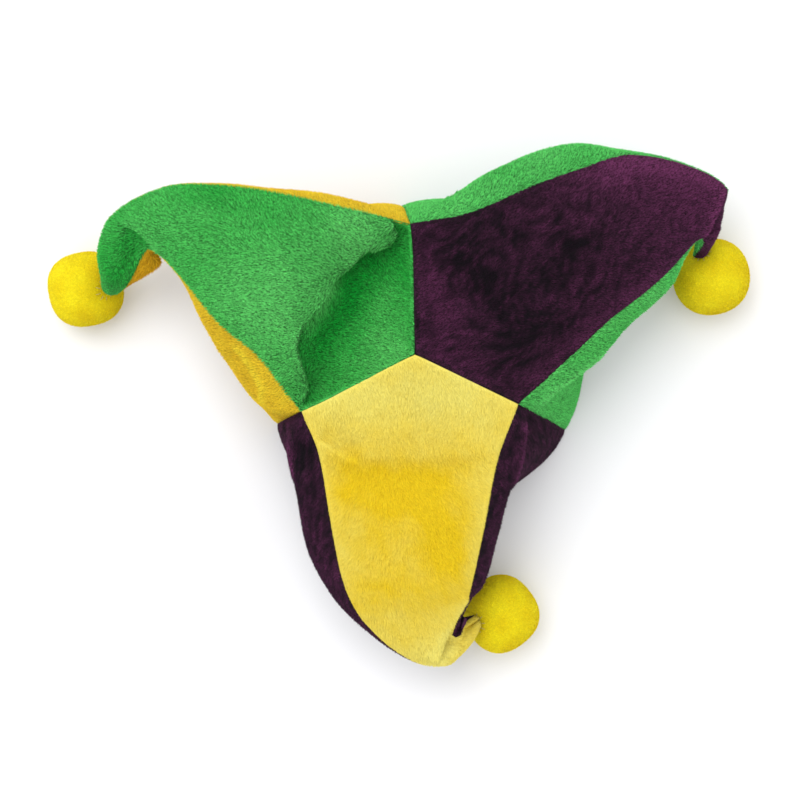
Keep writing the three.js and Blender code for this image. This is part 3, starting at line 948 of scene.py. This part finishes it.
def backing_finish(name, colour):
    """The knitted back of the plush."""
    finish = Finish(name)
    knit = finish.noise(0.9 * MM, 1.0)
    colours = finish.mix(knit, shaded(colour, 0.8), shaded(colour, 1.3))
    bump = finish.node("ShaderNodeBump", Strength=0.4, Distance=0.3 * MM, Height=knit)
    finish.set(Base_Color=colours, Roughness=0.9, Normal=bump.outputs[0])
    return finish.material


def dye_colours(dye):
    """A dye's deep and its pale colour."""
    colours = bpy.context.scene.jester_hat_colours
    return getattr(colours, f"{dye}_deep"), getattr(colours, f"{dye}_pale")


class Finishes:
    """The hat's materials, each made once."""

    made = {}

    @classmethod
    def plush(cls, dye):
        if dye not in cls.made:
            cls.made[dye] = plush_finish(f"{dye}_plush", *dye_colours(dye), PLUSHES[dye])
        return cls.made[dye]

    @classmethod
    def backing(cls, dye):
        key = f"{dye}_backing"
        if key not in cls.made:
            mixed = [0.65 * deep + 0.35 * pale for deep, pale in zip(*dye_colours(dye))]
            cls.made[key] = backing_finish(key, mixed)
        return cls.made[key]


def fasten(piece, node, replaces):
    """Let a piece ride on the hat's body, and hide its node's part if it replaces it."""
    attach(piece, BODY)
    if replaces:
        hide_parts(node)


class JESTERHAT_OT_sew_panels(bpy.types.Operator):
    """Sew the six panels and cover them with pile"""

    bl_idname = "jester_hat.sew_panels"
    bl_label = "Sew Panels"

    def execute(self, context):
        pile = context.scene.jester_hat_pile
        tree = pile_tree()
        for number, node in enumerate(PANELS):
            dye = DYES[node]
            panel = sew_panel(node)
            panel.data.materials.append(Finishes.plush(dye))
            panel.data.materials.append(Finishes.backing(dye))
            tufts = grown(tree, panel, f"pile_{node}", {
                "Tufts": pile.tufts * 1e4,
                "Length": pile.length,
                "Width": pile.width,
                "Lean": pile.lean,
                "Spread": pile.spread,
                "Seed": number,
                "Material": Finishes.plush(dye),
            })
            fasten(panel, node, True)
            fasten(tufts, node, False)
        return {"FINISHED"}


def ball_measures(node):
    """A ball's middle, its radius and the way to the tip that it is sewn to."""
    low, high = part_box(node)
    points = points_of(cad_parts[node].data)
    middle = np.array((low + high) / 2)
    away = np.linalg.norm(points - middle, axis=1)
    radius = away.max()
    seat = points[away < SEAT_SHARE * radius].mean(0) - middle
    return middle, radius, unit(seat)


def stuffed_ball(node):
    """A stuffed ball, drawn in where it is sewn to its tip."""
    middle, radius, seat = ball_measures(node)
    shape = BALL_SHAPES[node]
    turn = math.radians(shape["turn"])
    shell = bmesh.new()
    bmesh.ops.create_icosphere(shell, subdivisions=COVER_DETAIL, radius=1.0)
    ways = unit(np.array([corner.co[:] for corner in shell.verts]))
    cosine, sine = math.cos(turn), math.sin(turn)
    square = ways @ np.array([[cosine, -sine, 0], [sine, cosine, 0], [0, 0, 1]])
    boxy = np.sum(np.abs(square) ** shape["square"], axis=1) ** (-1 / shape["square"])
    drawn_in = SEAT_DIP * np.exp(-((np.arccos(np.clip(ways @ seat, -1, 1)) / SEAT_WIDTH) ** 2))
    for corner, way, size, dip in zip(shell.verts, ways, boxy / boxy.mean(), drawn_in):
        corner.co = middle + way * radius * (COVER_SIZE * size - dip)
    mesh = bpy.data.meshes.new(f"plush_{node}")
    for face in shell.faces:
        face.smooth = True
    shell.to_mesh(mesh)
    shell.free()
    ball = link(f"plush_{node}", mesh)
    held = np.flatnonzero(ways @ seat > math.cos(HELD_WIDTH))
    stuff(ball, held, STUFFING_MOST * radius)
    points = points_of(mesh)
    points[:, 2] -= points[:, 2].min()
    mesh.vertices.foreach_set("co", points.ravel())
    mesh.update()
    facing = np.array([corner.normal[:] for corner in mesh.vertices])
    patches = np.array([noise.noise(Vector(way * 2.2 + shape["turn"])) for way in ways])
    add_attribute(mesh, PILE, "FLOAT", np.ones(len(ways)))
    add_attribute(mesh, TONE, "FLOAT", np.clip(0.5 + PLUSHES["lemon"]["patch"] * patches, 0, 1))
    add_attribute(mesh, NAP, "FLOAT_VECTOR", unit(np.cross(facing, (0.2, 0.3, 0.9))))
    return ball


def stuff(ball, held, most):
    """Blow a ball's cover up against the stitches that hold it, each point by no more than most."""
    mesh = ball.data
    before = points_of(mesh)
    ball.vertex_groups.new(name="stitches").add(held.tolist(), 1.0, "REPLACE")
    stuffing = ball.modifiers.new("stuffing", "CLOTH")
    stuffing.settings.use_pressure = True
    stuffing.settings.uniform_pressure_force = STUFFING_PRESSURE
    stuffing.settings.vertex_group_mass = "stitches"
    stuffing.settings.effector_weights.gravity = 0.0
    stuffing.point_cache.frame_end = STUFFING_FRAMES
    for number in range(1, STUFFING_FRAMES + 1):
        bpy.context.scene.frame_set(number)
    evaluated = ball.evaluated_get(bpy.context.evaluated_depsgraph_get())
    after = points_of(evaluated.data)
    ball.modifiers.remove(stuffing)
    ball.vertex_groups.clear()
    bpy.context.scene.frame_set(1)
    moves = after - before
    size = np.linalg.norm(moves, axis=1, keepdims=True)
    moves *= np.minimum(1, most / np.maximum(size, 1e-9))
    mesh.vertices.foreach_set("co", (before + moves).ravel())
    mesh.update()


def stitch_tree():
    """A node tree that makes a ring of stitches, each over the edge of a tip and down on its ball."""
    tree = bpy.data.node_groups.new("stitches", "GeometryNodeTree")
    for name, kind, default in (
        ("Count", "NodeSocketInt", STITCHES),
        ("Ring", "NodeSocketFloat", STITCH_RING * MM),
        ("Reach", "NodeSocketFloat", STITCH_REACH * MM),
        ("Drop", "NodeSocketFloat", STITCH_DROP * MM),
        ("Thread", "NodeSocketFloat", STITCH_THREAD * MM),
        ("Material", "NodeSocketMaterial", None),
    ):
        socket = tree.interface.new_socket(name, in_out="INPUT", socket_type=kind)
        if default is not None:
            socket.default_value = default
    tree.interface.new_socket("Geometry", in_out="OUTPUT", socket_type="NodeSocketGeometry")
    build = Nodes(tree)
    given = build.node("NodeGroupInput").outputs
    inner = build.vector(build.maths("MULTIPLY", given["Reach"], -1.0), 0.0, given["Drop"])
    outer = build.vector(given["Reach"], 0.0, build.maths("MULTIPLY", given["Drop"], -1.0))
    crest = build.vector(0.0, 0.0, build.maths("MULTIPLY", given["Reach"], 0.8))
    bend = build.node("GeometryNodeCurveQuadraticBezier", Resolution=8, Start=inner, Middle=crest, End=outer)
    section = build.node("GeometryNodeCurvePrimitiveCircle", Resolution=6,
                         Radius=build.maths("DIVIDE", given["Thread"], 2.0))
    stitch = build.node("GeometryNodeCurveToMesh", Curve=bend.outputs[0], Profile_Curve=section.outputs[0])
    stitch.inputs["Fill Caps"].default_value = True
    ring = build.node("GeometryNodeMeshCircle", Vertices=given["Count"], Radius=given["Ring"])
    outwards = build.node("FunctionNodeAlignRotationToVector", {"axis": "X", "pivot_axis": "Z"},
                          Vector=build.node("GeometryNodeInputPosition").outputs[0])
    sewn = build.node("GeometryNodeInstanceOnPoints", Points=ring.outputs[0], Instance=stitch.outputs[0],
                      Rotation=outwards.outputs[0])
    real = build.node("GeometryNodeRealizeInstances", Geometry=sewn.outputs[0])
    dyed = build.node("GeometryNodeSetMaterial", Geometry=real.outputs[0], Material=given["Material"])
    build.put(build.node("NodeGroupOutput").inputs[0], dyed.outputs[0])
    return tree


def sew_on(tree, node, material):
    """The stitches between a ball and its tip."""
    middle, _, seat = ball_measures(node)
    ground = link(f"{node}_seat", bpy.data.meshes.new(f"{node}_seat"))
    stitches = grown(tree, ground, f"stitches_{node}", {"Material": material})
    bpy.data.objects.remove(ground)
    up = Vector(seat)
    place = Matrix.Translation(Vector(middle) + up * STITCH_HEIGHT * MM)
    stitches.data.transform(place @ up.to_track_quat("Z", "Y").to_matrix().to_4x4())
    return stitches


class JESTERHAT_OT_stuff_balls(bpy.types.Operator):
    """Stuff the three balls and cover them with short pile"""

    bl_idname = "jester_hat.stuff_balls"
    bl_label = "Stuff Balls"

    def execute(self, context):
        pile = context.scene.jester_hat_pile
        tree = pile_tree()
        ring = stitch_tree()
        thread = plain_finish("thread", context.scene.jester_hat_colours.thread, 0.6)
        for number, node in enumerate(BALLS):
            ball = stuffed_ball(node)
            ball.data.materials.append(Finishes.plush("lemon"))
            tufts = grown(tree, ball, f"pile_{node}", {
                "Tufts": pile.tufts * 1e4,
                "Length": pile.ball_length,
                "Width": pile.width * pile.ball_width,
                "Lean": pile.ball_lean,
                "Spread": pile.ball_spread,
                "Seed": BALL_SEED + number,
                "Material": Finishes.plush("lemon"),
            })
            stitches = sew_on(ring, node, thread)
            fasten(ball, node, True)
            fasten(tufts, node, False)
            fasten(stitches, node, False)
        return {"FINISHED"}


def plain_finish(name, colour, roughness):
    """One even colour."""
    finish = Finish(name)
    finish.set(Base_Color=(*colour, 1.0), Roughness=roughness)
    return finish.material


class JESTERHAT_OT_set_stage(bpy.types.Operator):
    """Lay the pale floor, hang the soft lights and set up the overhead camera"""

    bl_idname = "jester_hat.set_stage"
    bl_label = "Set Stage"

    def execute(self, context):
        scene, stage = context.scene, context.scene.jester_hat_stage
        bpy.ops.mesh.primitive_plane_add(size=FLOOR_SIZE, location=(0, 0, 0))
        floor = context.object
        floor.name = "floor"
        floor.data.materials.append(plain_finish("floor_paint", FLOOR_COLOUR, 0.9))

        world = scene.world or bpy.data.worlds.new("studio")
        scene.world = world
        world.use_nodes = True
        background = world.node_tree.nodes["Background"]
        background.inputs["Color"].default_value = (1, 1, 1, 1)
        background.inputs["Strength"].default_value = stage.sky

        light = bpy.data.lights.new("overhead_light", "AREA")
        light.energy = stage.key
        light.size = LIGHT_SIZE
        lamp = link("overhead_light", light)
        lamp.location = LIGHT_PLACE
        lamp.rotation_euler = (-lamp.location).to_track_quat("-Z", "Y").to_euler()

        camera = bpy.data.cameras.new("overhead_camera")
        camera.sensor_width = 36
        camera.lens = camera.sensor_width * stage.camera_height / stage.picture_width
        camera.clip_end = CAMERA_RANGE
        eye = link("overhead_camera", camera)
        eye.location = (CAMERA_ASIDE, CAMERA_BACK, stage.camera_height)
        scene.camera = eye
        scene.view_settings.view_transform = "Standard"
        return {"FINISHED"}


class JESTERHAT_PT_panel(bpy.types.Panel):
    """The hat's pieces and sizes"""

    bl_label = "Jester Hat"
    bl_idname = "JESTERHAT_PT_panel"
    bl_space_type = "VIEW_3D"
    bl_region_type = "UI"
    bl_category = "Hat"

    def draw(self, context):
        for operator in OPERATORS:
            self.layout.operator(operator.bl_idname)
        for name, group in GROUPS.items():
            box = self.layout.box()
            box.label(text=group.__doc__)
            for item in group.__annotations__:
                box.prop(getattr(context.scene, name), item)


OPERATORS = (JESTERHAT_OT_stuff_balls, JESTERHAT_OT_sew_panels, JESTERHAT_OT_set_stage)
GROUPS = {
    "jester_hat_colours": JesterHatColours,
    "jester_hat_cloth": JesterHatCloth,
    "jester_hat_pile": JesterHatPile,
    "jester_hat_stage": JesterHatStage,
}


def register():
    for group in GROUPS.values():
        bpy.utils.register_class(group)
    for shown in (*OPERATORS, JESTERHAT_PT_panel):
        bpy.utils.register_class(shown)
    for name, group in GROUPS.items():
        setattr(bpy.types.Scene, name, PointerProperty(type=group))


def unregister():
    for name in GROUPS:
        delattr(bpy.types.Scene, name)
    for shown in (JESTERHAT_PT_panel, *reversed(OPERATORS)):
        bpy.utils.unregister_class(shown)
    for group in GROUPS.values():
        bpy.utils.unregister_class(group)


def main():
    register()
    bpy.ops.jester_hat.set_stage()
    bpy.ops.jester_hat.stuff_balls()
    bpy.ops.jester_hat.sew_panels()


if __name__ == "__main__":
    main()
